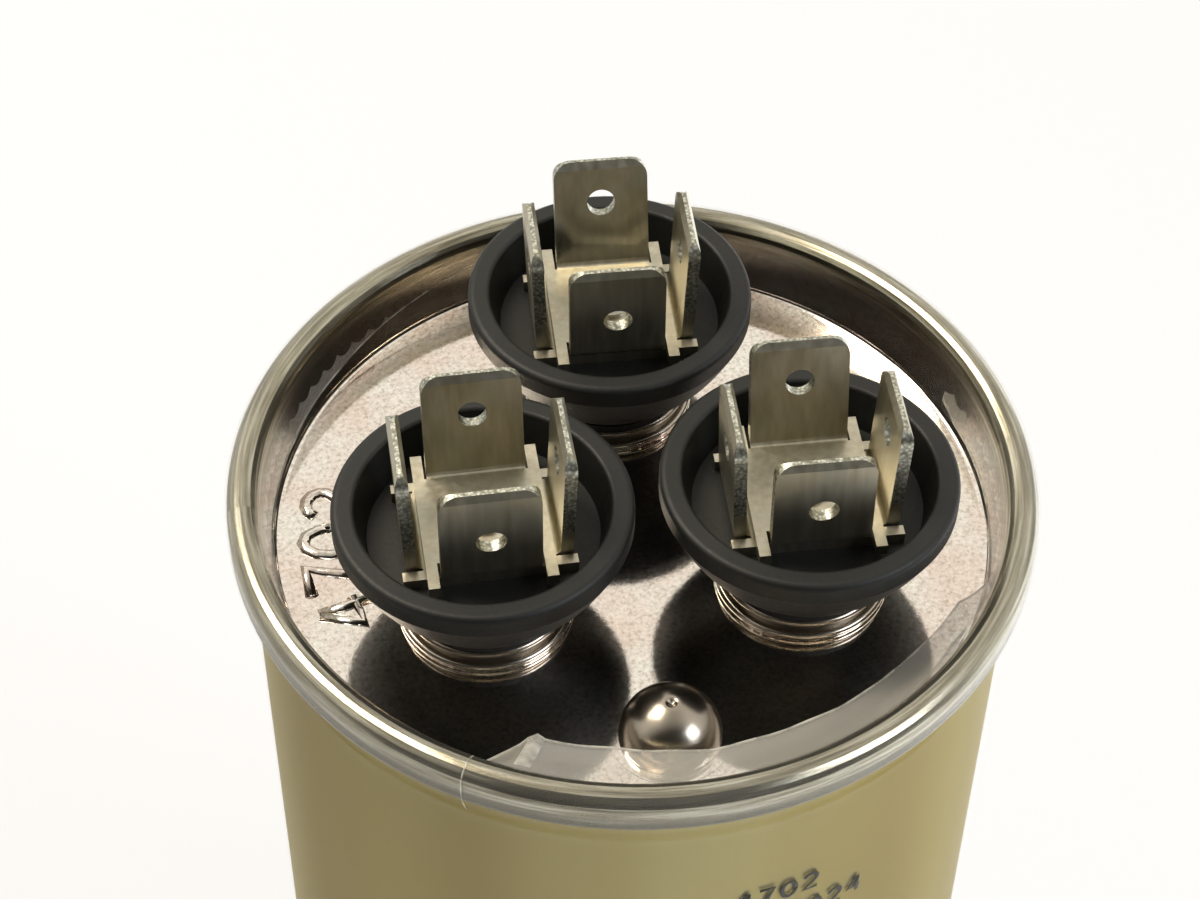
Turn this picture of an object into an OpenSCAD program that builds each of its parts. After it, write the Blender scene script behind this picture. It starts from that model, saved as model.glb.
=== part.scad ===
// Dual motor run capacitor: a drawn can closed by a double-seamed lid, with three
// insulated four-blade push-on terminals, and the wound pack that the can holds.
// Millimetres, +Z up. The can stands on z = 0 with its axis on Z, and the back
// terminal lies on +Y. Terminal order in every list: back, left, right.

/* [Can] */
// Outside diameter of the drawn can wall
can_d = 50.8; // [49:0.1:56]
// Height from the standing ring to the top of the double seam
can_h = 100; // [80:1:140]
// Sheet thickness of the can
can_t = 0.35; // [0.3:0.01:0.4]
// Outside radius where the can wall turns into its base
base_corner_r = 2.2; // [1.6:0.1:4]
// Radial width of the flat ring that the can stands on
foot_w = 3.6; // [2.5:0.1:6]
// Height of the raised middle of the base above the standing ring
foot_h = 0.8; // [0.5:0.1:1.5]

/* [Lid] */
// Sheet thickness of the lid
lid_t = 0.38; // [0.3:0.01:0.42]
// Slack between neighbouring sheets in the double seam
seam_gap = 0.05; // [0.03:0.01:0.08]
// Height of the double seam, from its lower edge to its top
seam_h = 3.0; // [2.9:0.1:3.6]
// Length of the lid's hook inside the seam
cover_hook_l = 1.1; // [0.8:0.05:1.2]
// Height of the sealing compound above the lid's hook
compound_h = 0.38; // [0.2:0.02:0.6]
// Length of the can's hook inside the seam
body_hook_l = 1.0; // [0.8:0.05:1.05]
// Depth of the lid's flat panel below the top of the seam
panel_depth = 5; // [4.5:0.1:7]
// Lean of the lid's wall, from upright
chuck_lean = 11; // [6:1:14]
// Bend radius at the foot of the lid's wall, to the middle of the sheet
panel_bend_r = 0.6; // [0.4:0.05:1]
// Radius of the dimple near the front of the lid
dimple_r = 3.25; // [2.5:0.05:3.6]
// Depth of the dimple
dimple_depth = 1.1; // [0.7:0.1:1.5]
// Distance of the dimple from the can's axis
dimple_at = 17.3; // [16.5:0.1:18.5]
// Radius of the small raised pip in the middle of the dimple
pip_r = 0.7; // [0.5:0.05:1]

/* [Terminal places] */
// Radius of the circle that the three terminals stand on
terminal_circle_r = 12; // [11.6:0.1:12.6]
// Twist of each terminal about its own rivet: back, left, right
terminal_twist = [-0.7, 1.4, -0.5]; // [-3:0.1:3]
// Outward lean of each rear blade: back, left, right
rear_lean = [12, 7, 10]; // [0:0.5:14]
// Outward lean of each front blade: back, left, right
front_lean = [3, 4, 3]; // [0:0.5:14]
// Outward lean of the two side blades: back, left, right
side_lean = [2, 2, 2]; // [0:0.5:10]

/* [Collars and gaskets] */
// Bore of the collar that is drawn up around each terminal hole
collar_bore_d = 9.8; // [9.4:0.1:10.4]
// Diameter of the flange at the foot of the collar
collar_foot_d = 11.5; // [11.2:0.1:12.4]
// Height of that flange
collar_foot_h = 0.6; // [0.4:0.05:0.8]
// Diameter across the rolled bead at the top of the collar
collar_bead_d = 11; // [10.6:0.1:11.4]
// Height of the collar above the panel
collar_h = 1.6; // [1.3:0.05:2]
// Thickness of the gasket's flange
gasket_t = 0.5; // [0.3:0.05:0.8]
// Diameter of the gasket's flange
gasket_d = 10.6; // [10.4:0.1:11]

/* [Terminal cups] */
// Diameter of the cup across its lip
cup_d = 19.1; // [18.4:0.1:19.6]
// Diameter of the cup's mouth
cup_mouth_d = 16.1; // [15.6:0.1:16.6]
// Diameter of the cup's floor
cup_floor_d = 14.8; // [14.6:0.1:15.6]
// Height of the lip above the lid's panel
cup_h = 10; // [9.4:0.1:12]
// Depth of the cup from its lip to its floor
cup_depth = 2.8; // [2.4:0.1:3.4]
// Height of the upright band below the lip
lip_band_h = 1.5; // [1:0.1:2.5]
// Rounding of the lip's outer edge
lip_edge_r = 0.45; // [0.2:0.05:0.6]
// Rounding of the lip's inner edge
mouth_edge_r = 0.3; // [0.1:0.05:0.4]
// Diameter of the cup's underside where it presses on the gasket
cup_seat_d = 10.2; // [9.8:0.1:10.4]
// Swell of the cup's tapered underside, beyond a straight cone
cup_swell = 0.45; // [0:0.05:0.9]
// Diameter of the stem that passes through the lid
stem_d = 8.8; // [8.4:0.1:8.9]
// Length of the stem below the lid's panel
stem_l = 1.0; // [0.8:0.05:1.2]

/* [Blades] */
// Width of each push-on blade
blade_w = 6.35; // [6.2:0.01:6.5]
// Thickness of each blade and its plate
blade_t = 0.8; // [0.75:0.01:0.85]
// Height of the blade tips above the top plate
tip_h = 7.5; // [7:0.1:9]
// Width of the plates that join two blades
plate_w = 8.1; // [7.9:0.05:8.3]
// Distance between the inner faces of the front and rear blades
upper_span = 7.7; // [7.5:0.1:8]
// Distance between the inner faces of the two side blades
lower_span = 9; // [8.8:0.05:9.2]
// Length of the flat ears beside the front and rear blades, past their outer faces
upper_ear_l = 0.9; // [0.5:0.05:1.1]
// Length of the flat ears beside the side blades, past their outer faces
lower_ear_l = 0.6; // [0.3:0.05:0.7]
// Width of the relief cut between a blade's root and each ear
relief_w = 0.15; // [0.1:0.01:0.25]
// Inner bend radius at the root of a blade
bend_r = 0.35; // [0.2:0.05:0.4]
// Rounding of the two corners at a blade's tip
tip_corner_r = 1.2; // [0.6:0.1:1.8]
// Bevel on each face along a blade's tip
tip_bevel = 0.25; // [0.1:0.01:0.3]
// Diameter of the detent hole in a blade
detent_d = 1.9; // [1.6:0.05:2.2]
// Distance of the detent hole from the tip on rear and side blades
detent_drop = 3; // [2.6:0.1:3.4]
// Distance of the detent hole from the tip on front blades
front_detent_drop = 4.5; // [3.4:0.1:4.8]

/* [Rivets and inner washers] */
// Diameter of the rivet's shank
rivet_d = 2.4; // [2:0.05:2.8]
// Diameter of the rivet's head on the top plate
rivet_head_d = 3.3; // [3:0.1:4.2]
// Height of the rivet's head
rivet_head_h = 0.35; // [0.25:0.05:0.8]
// Diameter of the end that is upset under the lug
rivet_tail_d = 4.2; // [3.6:0.1:5]
// Height of the upset end
rivet_tail_h = 0.8; // [0.5:0.1:1.2]
// Clearance around the rivet and the cup's stem
fit_gap = 0.05; // [0.03:0.01:0.08]
// Diameter of the insulating washer under the lid
washer_d = 14; // [12:0.1:14.6]
// Thickness of that washer
washer_t = 1.6; // [1.4:0.1:2.4]
// Diameter of the lug's ring
lug_d = 6; // [5.4:0.1:6.8]
// Thickness of the lug
lug_t = 0.5; // [0.4:0.05:0.8]
// Width of the lug's tail
lug_w = 2.6; // [2.4:0.1:3.4]
// Length of the lug's tail from the rivet
lug_l = 6.6; // [6.2:0.1:7]

/* [Wound pack] */
// Slack between the can's wall and the wrap around the wound pack
pack_slack = 1.65; // [1.3:0.05:2.6]
// Length of the short section
small_winding_l = 18; // [14:0.5:24]
// Thickness of the sprayed metal on each end of a section
spray_t = 0.5; // [0.3:0.05:0.8]
// Margin that the spray leaves bare at the rim of a section
spray_margin = 0.8; // [0.4:0.1:2]
// Outside diameter of the tube that the sections are wound on
core_d = 8; // [7.4:0.1:10]
// Wall of that tube
core_t = 1; // [0.8:0.05:1.1]
// Diameter of the inner leads
lead_d = 1.2; // [1:0.05:1.4]
// Distance from the axis of the leads that run up the core tube
lead_offset = 1.2; // [0.9:0.05:1.3]
// Distance from the axis at which those leads start on the sprayed ends
lead_foot_r = 8.6; // [6:0.1:14]
// Room for the leads between the wound pack and the lid's panel
head_room = 13; // [11:0.5:18]
// Thickness of the insulating disc under the pack
bottom_disc_t = 2; // [1.8:0.1:3]
// Thickness of the insulating disc on top of the pack
top_disc_t = 1.8; // [1.2:0.1:2.6]
// Wall of the top disc's upstanding rim
top_rim_t = 1.2; // [0.8:0.1:1.6]
// Thickness of the insulating wrap around the pack
wrap_t = 0.8; // [0.4:0.05:1]
// Slack between the wound pack and its wrap
wrap_gap = 0.1; // [0.05:0.01:0.3]

/* [Clear sleeve] */
// Thickness of the clear shrink film
film_t = 0.1; // [0.08:0.01:0.14]
// Air between the film and the metal
film_gap = 0.05; // [0.03:0.01:0.1]
// Height of the band below the seam where the film slopes in to the can wall
film_slope_h = 4.5; // [2:0.5:8]
// Height of the film's edge above the panel where it lines the lid's wall
film_edge_h = 0.9; // [0.6:0.1:2]

/* [Hidden] */
$fn = 64;
BACK = 0;
LEFT = 1;
RIGHT = 2;
cut = 0.5;             // how far a cutting shape runs past the face that it cuts
weld = 0.02;           // how far two parts of one stamping run into each other
arc_steps = 8;         // steps in each drawn bend of a sheet

// Seam: centre lines of the five sheets, from the axis outwards
can_r = can_d / 2;
wall_mid_r = can_r - can_t / 2;
hook_mid_r = can_r + seam_gap + lid_t / 2;
body_hook_mid_r = can_r + seam_gap * 2 + lid_t + can_t / 2;
seaming_mid_r = can_r + seam_gap * 3 + lid_t * 1.5 + can_t;
chuck_top_r = can_r - can_t - seam_gap - lid_t / 2;
seam_r = seaming_mid_r + lid_t / 2;
crest_r = (seaming_mid_r - chuck_top_r) / 2;
crest_at = [(seaming_mid_r + chuck_top_r) / 2, can_h - crest_r - lid_t / 2];
can_crest_r = (body_hook_mid_r - wall_mid_r) / 2;
curl_r = (seaming_mid_r - hook_mid_r) / 2;
curl_at = [(seaming_mid_r + hook_mid_r) / 2, can_h - seam_h + curl_r + lid_t / 2];

// Lid: the wall leans in from the crest to the panel's bend
panel_z = can_h - panel_depth;
chuck_start = crest_at + crest_r * [-cos(chuck_lean), sin(chuck_lean)];
bend_z = panel_z - lid_t / 2 + panel_bend_r;
bend_end_z = bend_z - panel_bend_r * sin(chuck_lean);
bend_x = chuck_start[0] - (chuck_start[1] - bend_end_z) * tan(chuck_lean)
       - panel_bend_r * cos(chuck_lean);
chuck_foot_r = bend_x + panel_bend_r - lid_t / 2;
dimple_angle = -90;

// Terminals: heights above the panel
terminal_angle = [90, 210, 330];
cup_floor_z = panel_z + cup_h - cup_depth;
cup_seat_z = panel_z + collar_h + gasket_t;
lower_plate_z = cup_floor_z;
upper_plate_z = lower_plate_z + blade_t;
plate_top_z = upper_plate_z + blade_t;
lid_under_z = panel_z - lid_t;
washer_z = lid_under_z - washer_t;
lug_z = washer_z - lug_t;

// Wound pack: heights from the can's base upwards
bottom_disc_z = foot_h + can_t;
pack_z = bottom_disc_z + bottom_disc_t;
top_disc_z = panel_z - head_room - top_disc_t;
small_top_spray_z = top_disc_z - spray_t;
small_winding_z = small_top_spray_z - small_winding_l;
small_bottom_spray_z = small_winding_z - spray_t;
section_t = lead_d;
section_z = small_bottom_spray_z - section_t;
large_top_spray_z = section_z - spray_t;
large_winding_z = pack_z + spray_t;
large_winding_l = large_top_spray_z - large_winding_z;
wrap_r = can_r - can_t - pack_slack;
wrap_in_r = wrap_r - wrap_t;
winding_r = wrap_in_r - wrap_gap;
top_rim_r = wrap_in_r - wrap_gap;
lug_eye_r = terminal_circle_r - lug_l + lead_d;

// Clear sleeve: centre lines of the film
film_off = film_gap + film_t / 2;
film_wall_r = can_r + film_off;
film_seam_r = seam_r + film_off;
film_crest_r = crest_r + lid_t / 2 + film_off;
film_bare = [19, 59];        // sector where the film stops at the seam's crest

// ---- Outlines ------------------------------------------------------------------

function arc(at, r, a0, a1, n = arc_steps) =
  [for (i = [0:n]) at + r * [cos(a0 + (a1 - a0) * i / n), sin(a0 + (a1 - a0) * i / n)]];

function unit(v) = v / norm(v);

function heading(p, i) =
  i == 0 ? unit(p[1] - p[0])
  : i == len(p) - 1 ? unit(p[i] - p[i - 1])
  : unit(unit(p[i + 1] - p[i]) + unit(p[i] - p[i - 1]));

// How much longer the step to either face is at a corner of the path
function miter(p, i) = i == 0 || i == len(p) - 1 ? 1 : 1 / (heading(p, i) * unit(p[i] - p[i - 1]));

function side_of(p, i, off) = p[i] + off * miter(p, i) * [-heading(p, i)[1], heading(p, i)[0]];

// A sheet of thickness t that follows the path p
function sheet(p, t) = concat(
  [for (i = [0:len(p) - 1]) side_of(p, i, t / 2)],
  [for (i = [len(p) - 1:-1:0]) side_of(p, i, -t / 2)]);

module spun_sheet(p, t) {
  rotate_extrude($fn = 128) polygon(sheet(p, t));
}

module at_terminal(k) {
  rotate(terminal_angle[k]) translate([terminal_circle_r, 0, 0])
    rotate(-terminal_angle[k]) rotate(terminal_twist[k]) children();
}

module tube(r, r_in, h) {
  difference() {
    cylinder(r = r, h = h);
    translate([0, 0, -cut]) cylinder(r = r_in, h = h + 2 * cut);
  }
}

// ---- Can and lid ---------------------------------------------------------------

// Drawn can: raised base, standing ring, corner, wall, and the hook of the seam
module can() {
  foot_out_r = can_r - base_corner_r;
  foot_in_r = foot_out_r - foot_w;
  color("#b6a981") spun_sheet(concat(
    [[0, foot_h + can_t / 2], [foot_in_r - foot_h, foot_h + can_t / 2], [foot_in_r, can_t / 2]],
    arc([foot_out_r, base_corner_r], base_corner_r - can_t / 2, -90, 0),
    arc(crest_at, can_crest_r, 180, 0),
    [[body_hook_mid_r, crest_at[1] - body_hook_l]]), can_t);
}

// Profile of the collar: a foot flange and a rolled bead above a narrow waist
module collar_profile() {
  bead_r = (collar_bead_d - collar_bore_d) / 4;
  bore_r = collar_bore_d / 2;
  foot_edge_r = collar_foot_h / 2;
  translate([bore_r, -lid_t]) square([bead_r, lid_t + collar_h - bead_r]);
  translate([bore_r + bead_r, collar_h - bead_r]) circle(r = bead_r);
  translate([bore_r, -lid_t]) square([collar_foot_d / 2 - foot_edge_r - bore_r, lid_t + collar_foot_h]);
  translate([collar_foot_d / 2 - foot_edge_r, collar_foot_h - foot_edge_r]) circle(r = foot_edge_r);
}

// Stamped dimple: a shallow bowl with a small raised pip in its middle
module dimple() {
  bowl_r = (dimple_r * dimple_r + dimple_depth * dimple_depth) / (2 * dimple_depth);
  bowl_edge = asin(dimple_r / bowl_r);
  pip_edge = asin(pip_r / bowl_r);
  bowl_mid = [0, panel_z - lid_t / 2 - dimple_depth + bowl_r];
  pip_top = bowl_mid + bowl_r * [0, -cos(pip_edge)] + [0, pip_r / 2];
  spun_sheet(concat([pip_top, pip_top + [pip_r / 3, 0]],
    arc(bowl_mid, bowl_r, -90 + pip_edge, -90 + bowl_edge)), lid_t);
}

module lid() {
  color("#b9b5a8") {
    difference() {
      spun_sheet(concat(
        [[0, panel_z - lid_t / 2]],
        arc([bend_x, bend_z], panel_bend_r, -90, -chuck_lean),
        arc(crest_at, crest_r, 180 - chuck_lean, 0),
        arc(curl_at, curl_r, 0, -180),
        [[hook_mid_r, curl_at[1] + cover_hook_l]]), lid_t);
      for (k = [BACK:RIGHT]) at_terminal(k) translate([0, 0, lid_under_z - cut])
        cylinder(d = collar_bore_d, h = lid_t + 2 * cut);
      rotate(dimple_angle) translate([dimple_at, 0, lid_under_z - cut])
        cylinder(r = dimple_r - lid_t / 2, h = lid_t + 2 * cut);
    }
    for (k = [BACK:RIGHT]) at_terminal(k) translate([0, 0, panel_z])
      rotate_extrude() collar_profile();
    rotate(dimple_angle) translate([dimple_at, 0, 0]) dimple();
  }
}

// Sealing compound that fills the void above the lid's hook
module seam_compound() {
  hook_top_z = curl_at[1] + cover_hook_l;
  color("#6b5a3c") translate([0, 0, hook_top_z]) tube(hook_mid_r + lid_t / 2 - seam_gap / 2,
    hook_mid_r - lid_t / 2 + seam_gap / 2, compound_h);
}

// ---- Clear sleeve --------------------------------------------------------------

// Shrunk film: up the wall, out over the seam, and in over the lid's wall, where it
// stops at the crest in one sector
module clear_sleeve() {
  inner_top = crest_at + film_crest_r * [-cos(chuck_lean), sin(chuck_lean)];
  wall_run = inner_top[1] - panel_z - film_edge_h;
  color("#d9dcd0", 0.35) difference() {
    spun_sheet(concat(
      [[film_wall_r, base_corner_r]],
      [for (i = [0:arc_steps]) let (s = i / arc_steps)
        [film_wall_r + (film_seam_r - film_wall_r) * s * s * (3 - 2 * s),
         curl_at[1] - film_slope_h * (1 - s)]],
      arc(crest_at, film_crest_r, 0, 180 - chuck_lean),
      [inner_top - wall_run * [tan(chuck_lean), 1]]), film_t);
    rotate(film_bare[0]) rotate_extrude(angle = film_bare[1] - film_bare[0])
      translate([chuck_foot_r / 2, panel_z]) square([crest_at[0] - chuck_foot_r / 2, crest_at[1] - panel_z]);
  }
}

// ---- Terminals -----------------------------------------------------------------

module rivet_hole(z, h) {
  translate([0, 0, z - cut]) cylinder(d = rivet_d + 2 * fit_gap, h = h + 2 * cut);
}

// The cup's tapered underside, from the gasket out to the band, swollen past a cone
function bowl_side(from, to) = let (out = unit([to[1] - from[1], from[0] - to[0]]))
  [for (i = [0:arc_steps]) let (s = i / arc_steps)
    from + s * (to - from) + cup_swell * sin(180 * s) * out];

// Moulded cup: stem, tapered bowl, upright band and rounded lip
module cup(k) {
  lip_z = panel_z + cup_h;
  stem_z = panel_z - stem_l;
  color("#1d1f20") at_terminal(k) difference() {
    rotate_extrude() polygon(concat(
      [[0, stem_z], [stem_d / 2, stem_z], [stem_d / 2, cup_seat_z]],
      bowl_side([cup_seat_d / 2, cup_seat_z], [cup_d / 2, lip_z - lip_band_h]),
      arc([cup_d / 2 - lip_edge_r, lip_z - lip_edge_r], lip_edge_r, 0, 90),
      arc([cup_mouth_d / 2 + mouth_edge_r, lip_z - mouth_edge_r], mouth_edge_r, 90, 180),
      [[cup_floor_d / 2, cup_floor_z], [0, cup_floor_z]]));
    rivet_hole(stem_z, cup_floor_z - stem_z);
  }
}

// Rubber gasket: a flange on the collar and a sleeve down its bore
module gasket(k) {
  color("#2a2a2c") at_terminal(k) {
    translate([0, 0, panel_z + collar_h]) tube(gasket_d / 2, stem_d / 2 + fit_gap, gasket_t);
    translate([0, 0, lid_under_z])
      tube(collar_bore_d / 2 - fit_gap, stem_d / 2 + fit_gap, lid_t + collar_h + gasket_t / 2);
  }
}

// The straight part of a blade: inner face on x = 0, root on z = 0, bevelled along
// its tip, with two round corners and a detent hole
module blade_tip(l, drop) {
  side = blade_w / 2;
  difference() {
    intersection() {
      translate([0, side, 0]) rotate([90, 0, 0]) linear_extrude(blade_w)
        polygon([[0, -weld], [blade_t, -weld], [blade_t, l - 2 * tip_bevel], [blade_t - tip_bevel, l],
          [tip_bevel, l], [0, l - 2 * tip_bevel]]);
      union() {
        translate([0, -side, -weld]) cube([blade_t, blade_w, l + weld - tip_corner_r]);
        translate([0, tip_corner_r - side, 0]) cube([blade_t, blade_w - 2 * tip_corner_r, l]);
        for (y = [tip_corner_r - side, side - tip_corner_r])
          translate([0, y, l - tip_corner_r]) rotate([0, 90, 0]) cylinder(r = tip_corner_r, h = blade_t);
      }
    }
    translate([-cut, 0, l - drop]) rotate([0, 90, 0]) cylinder(d = detent_d, h = blade_t + 2 * cut);
  }
}

// A blade and the bend at its root. The bend starts at the origin, the plate comes
// in from -x with its top on z = 0, and the blade leans out to +x
module blade(h, lean, drop) {
  turn = 90 - lean;
  rise = bend_r * (1 - cos(turn));
  translate([0, blade_w / 2, bend_r]) rotate([90, 0, 0]) rotate(-90)
    rotate_extrude(angle = turn) translate([bend_r, 0]) square([blade_t, blade_w]);
  translate([bend_r * sin(turn), 0, rise]) rotate([0, lean, 0])
    blade_tip((h - rise) / sin(turn), drop);
}

// A folded stamping: a flat plate with ears, and a blade standing at each end
module blade_pair(span, ear_l, h, lean, drop) {
  root = span / 2 - bend_r;
  ear_end = span / 2 + blade_t + ear_l;
  slot = blade_w / 2 + relief_w;
  difference() {
    translate([-ear_end, -plate_w / 2, 0]) cube([2 * ear_end, plate_w, blade_t]);
    for (end = [0, 1]) mirror([end, 0, 0]) translate([root + weld, -slot, -cut])
      cube([ear_end, 2 * slot, blade_t + 2 * cut]);
    rivet_hole(0, blade_t);
  }
  for (end = [0, 1]) mirror([end, 0, 0]) translate([root, 0, blade_t]) blade(h, lean[end], drop[end]);
}

module lower_blades(k) {
  color("#b5b1a0") at_terminal(k) translate([0, 0, lower_plate_z])
    blade_pair(lower_span, lower_ear_l, tip_h + blade_t, [side_lean[k], side_lean[k]],
      [detent_drop, detent_drop]);
}

module upper_blades(k) {
  color("#c2bda8") at_terminal(k) translate([0, 0, upper_plate_z]) rotate(90)
    blade_pair(upper_span, upper_ear_l, tip_h, [rear_lean[k], front_lean[k]],
      [detent_drop, front_detent_drop]);
}

// Rivet that clamps the plates, the cup, the washer and the lug through the lid
module rivet(k) {
  color("#a9a9a4") at_terminal(k) {
    translate([0, 0, lug_z - rivet_tail_h]) cylinder(d = rivet_tail_d, h = rivet_tail_h);
    translate([0, 0, lug_z - rivet_tail_h]) cylinder(d = rivet_d, h = plate_top_z - lug_z + rivet_tail_h);
    translate([0, 0, plate_top_z]) cylinder(d = rivet_head_d, h = rivet_head_h);
  }
}

// Insulating washer under the lid, with a pocket for the end of the cup's stem
module inner_washer(k) {
  color("#5b3a24") at_terminal(k) difference() {
    translate([0, 0, washer_z]) cylinder(d = washer_d, h = washer_t);
    translate([0, 0, panel_z - stem_l - fit_gap]) cylinder(r = stem_d / 2 + fit_gap, h = washer_t);
    rivet_hole(washer_z, washer_t);
  }
}

// Lug: a ring on the rivet and a tail towards the can's axis
module inner_lug(k) {
  color("#c9c6bd") rotate(terminal_angle[k]) translate([terminal_circle_r, 0, lug_z]) difference() {
    union() {
      cylinder(d = lug_d, h = lug_t);
      translate([-lug_l, -lug_w / 2, 0]) cube([lug_l, lug_w, lug_t]);
    }
    rivet_hole(0, lug_t);
  }
}

// ---- Wound pack ----------------------------------------------------------------

module winding(z, l) {
  color("#d8d4c4") translate([0, 0, z]) tube(winding_r, core_d / 2, l);
}

module spray(z) {
  color("#8f9091") translate([0, 0, z]) tube(winding_r - spray_margin, core_d / 2, spray_t);
}

// Straight wire between two points
module wire_run(a, b) {
  d = b - a;
  translate(a) rotate([0, acos(d[2] / norm(d)), atan2(d[1], d[0])]) cylinder(d = lead_d, h = norm(d));
}

// Wire through a list of points, with round elbows
module wire(p) {
  for (i = [1:len(p) - 1]) wire_run(p[i - 1], p[i]);
  for (i = [1:len(p) - 2]) translate(p[i]) sphere(d = lead_d + fit_gap);
}

// The end of a lead: over to the lug of terminal k, and up to the lug's underside
function to_lug(k) = [
  [lug_eye_r * cos(terminal_angle[k]), lug_eye_r * sin(terminal_angle[k]), lug_z - 2 * lead_d],
  [lug_eye_r * cos(terminal_angle[k]), lug_eye_r * sin(terminal_angle[k]), lug_z]];

lead_turn_z = top_disc_z + top_disc_t + 2 * lead_d;
large_lead_z = pack_z - lead_d / 2;
common_lead_z = section_z + section_t / 2;

// Lead of the long section: across the base in its groove, and up the core tube
module lead_large() {
  color("#8c2f28") wire(concat(
    [[-lead_foot_r, 0, large_lead_z], [-lead_offset, 0, large_lead_z], [-lead_offset, 0, lead_turn_z]],
    to_lug(LEFT)));
}

// Lead of both sections' joined ends: in between them, and up the core tube
module lead_common() {
  color("#2d3f63") wire(concat(
    [[lead_foot_r, 0, common_lead_z], [lead_offset, 0, common_lead_z], [lead_offset, 0, lead_turn_z]],
    to_lug(BACK)));
}

// Lead of the short section: straight up from its top end to the lug
module lead_small() {
  color("#8a7a2e") rotate(terminal_angle[RIGHT]) translate([lug_eye_r, 0, top_disc_z])
    cylinder(d = lead_d, h = lug_z - top_disc_z);
}

module lead_slot(way, z, h) {
  w = lead_d + 2 * fit_gap;
  translate([way > 0 ? 0 : -lead_foot_r - w, -w / 2, z]) cube([lead_foot_r + w, w, h]);
}

module bottom_insulator() {
  color("#cfc7a6") difference() {
    translate([0, 0, bottom_disc_z]) cylinder(r = winding_r, h = bottom_disc_t);
    lead_slot(-1, pack_z - lead_d - fit_gap, lead_d + cut);
  }
}

// Tube that both sections are wound on, with a hole where the common lead comes in
module core_tube() {
  color("#e6e2d3") difference() {
    translate([0, 0, pack_z]) tube(core_d / 2, core_d / 2 - core_t, top_disc_z - pack_z);
    translate([0, 0, common_lead_z]) rotate([0, 90, 0]) cylinder(d = lead_d + 2 * fit_gap, h = core_d);
  }
}

module section_insulator() {
  color("#cfc7a6") difference() {
    translate([0, 0, section_z]) tube(winding_r, core_d / 2, section_t);
    lead_slot(1, section_z - cut, section_t + 2 * cut);
  }
}

// Top disc with holes for the leads, and a rim that keeps the pack off the lid
module top_insulator() {
  disc_top_z = top_disc_z + top_disc_t;
  rim_top_z = lid_under_z - dimple_depth;
  color("#cfc7a6") {
    difference() {
      translate([0, 0, top_disc_z]) cylinder(r = top_rim_r, h = top_disc_t);
      translate([0, 0, top_disc_z - cut]) cylinder(r = core_d / 2 - core_t, h = top_disc_t + 2 * cut);
      rotate(terminal_angle[RIGHT]) translate([lug_eye_r, 0, top_disc_z - cut])
        cylinder(d = lead_d + 2 * fit_gap, h = top_disc_t + 2 * cut);
    }
    translate([0, 0, disc_top_z]) tube(top_rim_r, top_rim_r - top_rim_t, rim_top_z - disc_top_z);
  }
}

module pack_wrap() {
  color("#b9a878") translate([0, 0, pack_z]) tube(wrap_r, wrap_in_r, top_disc_z + top_disc_t - pack_z);
}

// ---- Assembly ------------------------------------------------------------------

can();
lid();
seam_compound();
cup(BACK);  // cup_back
cup(LEFT);  // cup_left
cup(RIGHT);  // cup_right
gasket(BACK);  // gasket_back
gasket(LEFT);  // gasket_left
gasket(RIGHT);  // gasket_right
lower_blades(BACK);  // lower_blades_back
lower_blades(LEFT);  // lower_blades_left
lower_blades(RIGHT);  // lower_blades_right
upper_blades(BACK);  // upper_blades_back
upper_blades(LEFT);  // upper_blades_left
upper_blades(RIGHT);  // upper_blades_right
rivet(BACK);  // rivet_back
rivet(LEFT);  // rivet_left
rivet(RIGHT);  // rivet_right
inner_washer(BACK);  // inner_washer_back
inner_washer(LEFT);  // inner_washer_left
inner_washer(RIGHT);  // inner_washer_right
inner_lug(BACK);  // inner_lug_back
inner_lug(LEFT);  // inner_lug_left
inner_lug(RIGHT);  // inner_lug_right
bottom_insulator();
core_tube();
winding(large_winding_z, large_winding_l);  // large_winding
winding(small_winding_z, small_winding_l);  // small_winding
spray(pack_z);  // large_spray_bottom
spray(large_top_spray_z);  // large_spray_top
spray(small_bottom_spray_z);  // small_spray_bottom
spray(small_top_spray_z);  // small_spray_top
section_insulator();
top_insulator();
pack_wrap();
lead_large();
lead_common();
lead_small();
clear_sleeve();
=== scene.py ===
"""Dual motor run capacitor, dressed: its finishes, clear shrink sleeve, stamped dome, bent blades and
numerals, in a small studio."""

import math

import bmesh
import bpy
from mathutils import Matrix, Vector


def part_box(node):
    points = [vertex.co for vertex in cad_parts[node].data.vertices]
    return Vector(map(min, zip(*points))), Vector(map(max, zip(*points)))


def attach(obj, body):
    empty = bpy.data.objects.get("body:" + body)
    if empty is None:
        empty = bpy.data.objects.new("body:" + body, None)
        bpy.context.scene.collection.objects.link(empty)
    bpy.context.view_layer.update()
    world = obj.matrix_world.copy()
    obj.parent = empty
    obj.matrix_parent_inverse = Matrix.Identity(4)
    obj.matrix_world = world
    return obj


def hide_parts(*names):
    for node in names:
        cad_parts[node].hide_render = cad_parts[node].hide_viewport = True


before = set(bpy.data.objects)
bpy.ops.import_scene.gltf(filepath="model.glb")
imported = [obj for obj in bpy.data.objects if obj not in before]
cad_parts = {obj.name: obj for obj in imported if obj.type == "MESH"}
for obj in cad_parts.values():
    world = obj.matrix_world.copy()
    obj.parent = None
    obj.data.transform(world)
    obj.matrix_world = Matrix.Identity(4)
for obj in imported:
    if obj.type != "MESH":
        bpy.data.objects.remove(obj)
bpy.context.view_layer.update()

MM = 0.001

# ---- Places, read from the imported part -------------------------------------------

_, lid_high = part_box("lid")
_, blades_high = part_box("upper_blades_back")

TERMINALS = ("back", "left", "right")

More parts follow.
